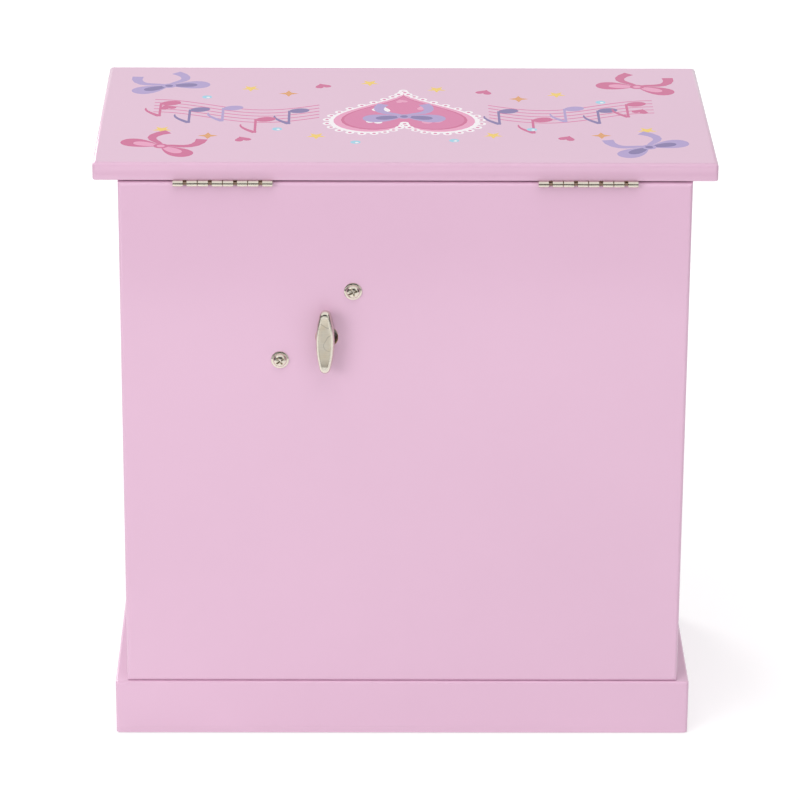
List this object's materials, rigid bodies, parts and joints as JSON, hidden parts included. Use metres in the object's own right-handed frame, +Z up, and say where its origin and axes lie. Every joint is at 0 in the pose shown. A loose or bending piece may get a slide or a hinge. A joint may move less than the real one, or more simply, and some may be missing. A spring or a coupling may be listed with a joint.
{
  "type": "musical jewellery box",
  "caption": "Upright pink wind-up musical jewellery box: hinged mirrored lid over a tray with a turning dancer, drawers below, key on the back.",
  "frame": {"origin": "middle of the plinth's footprint, on the floor", "axes": "+Z up, drawers face -Y, winding key on the +Y side, +X to the right seen from the front"},
  "size_m": [0.25, 0.14, 0.252],
  "materials": {
    "case_paint": "semi-gloss pink paint on board",
    "lid_paint": "semi-gloss pink paint on board, printed top",
    "front_paint": "semi-gloss pink paint on board",
    "raw_board": "bare brown fibreboard",
    "tray_paper": "pale pink covering paper",
    "velvet": "flocked rose lining",
    "roll_velvet": "flocked foam ring rolls",
    "base_felt": "thin felt",
    "nickel": "nickel plate",
    "key_nickel": "satin nickel plate",
    "zinc": "die-cast zinc",
    "spring_steel": "polished spring steel",
    "brass": "turned brass",
    "nylon": "white nylon",
    "knob_plastic": "pearl white gloss",
    "dancer_plastic": "painted moulded plastic",
    "tulle": "stiff pleated net",
    "mirror_glass": "silvered glass"
  },
  "bodies": {
    "case": {"base_pad": "base_felt", "plinth_rails": "case_paint", "carcass_bottom": "case_paint", "left_side_panel": "case_paint", "right_side_panel": "case_paint", "back_panel": "case_paint", "fascia_panel": "case_paint", "tray_floor": "raw_board", "lower_shelf": "case_paint", "upper_shelf": "case_paint", "movement_partition": "raw_board", "tray_lining": "velvet", "tray_dividers": "tray_paper", "ring_rolls": "roll_velvet", "lid_bumpers": "base_felt", "hinge_case_leaves": "nickel", "hinge_pins": "nickel", "hinge_case_screws": "nickel", "movement_bedplate": "zinc", "spring_housing": "zinc", "mainspring": "spring_steel", "tone_comb": "spring_steel", "comb_screws": "nickel", "governor_bracket": "zinc", "movement_screws": "nickel"},
    "lid": {"lid_panel": "lid_paint", "lid_mirror": "mirror_glass", "mirror_frame": "tray_paper", "hinge_lid_leaves": "nickel", "hinge_lid_screws": "nickel"},
    "key_train": {"wind_key": "key_nickel", "winding_arbor": "spring_steel", "great_wheel": "brass"},
    "spindle_train": {"drive_spindle": "spring_steel", "drive_pinion": "nylon", "pinned_drum": "brass", "worm_wheel": "brass", "dancer_spring": "spring_steel", "dancer_figure": "dancer_plastic", "dancer_skirt": "tulle"},
    "governor": {"governor_worm": "spring_steel", "governor_fan": "nylon"},
    "stop": {"stop_wire": "spring_steel"},
    "bottom_drawer": {"bottom_drawer_front": "front_paint", "bottom_drawer_walls": "raw_board", "bottom_drawer_bottom": "raw_board", "bottom_drawer_lining": "velvet", "bottom_drawer_knobs": "knob_plastic"},
    "middle_drawer": {"middle_drawer_front": "front_paint", "middle_drawer_walls": "raw_board", "middle_drawer_bottom": "raw_board", "middle_drawer_lining": "velvet", "middle_drawer_knobs": "knob_plastic"},
    "top_drawer": {"top_drawer_front": "front_paint", "top_drawer_walls": "raw_board", "top_drawer_bottom": "raw_board", "top_drawer_lining": "velvet", "top_drawer_knobs": "knob_plastic"}
  },
  "joints": [
    {"name": "lid_hinge", "type": "hinge", "parent": "case", "child": "lid", "pos_m": [0, 0.06245, 0.2438], "axis": [-1, 0, 0], "range_deg": [0, 100]},
    {"name": "key_spin", "type": "hinge", "parent": "case", "child": "key_train", "pos_m": [0.0315, 0.04065, 0.178], "axis": [0, 1, 0], "continuous": true},
    {"name": "dancer_spin", "type": "hinge", "parent": "case", "child": "spindle_train", "pos_m": [0.0315, 0.03311, 0.178], "axis": [0, 0, 1], "continuous": true},
    {"name": "governor_spin", "type": "hinge", "parent": "case", "child": "governor", "pos_m": [0.0411, 0.03311, 0.1584], "axis": [0, 1, 0], "continuous": true},
    {"name": "stop_slide", "type": "slide", "parent": "case", "child": "stop", "axis": [0, 0, 1], "range_m": [0, 0.003]},
    {"name": "bottom_drawer_slide", "type": "slide", "parent": "case", "child": "bottom_drawer", "axis": [0, -1, 0], "range_m": [0, 0.085]},
    {"name": "middle_drawer_slide", "type": "slide", "parent": "case", "child": "middle_drawer", "axis": [0, -1, 0], "range_m": [0, 0.085]},
    {"name": "top_drawer_slide", "type": "slide", "parent": "case", "child": "top_drawer", "axis": [0, -1, 0], "range_m": [0, 0.052]}
  ],
  "couplings": [
    {"joint": "dancer_spin", "follows": "key_spin", "ratio": -1.8},
    {"joint": "governor_spin", "follows": "key_spin", "ratio": 43.2},
    {"joint": "stop_slide", "follows": "lid_hinge", "m_per_rad": 0.0017}
  ]
}
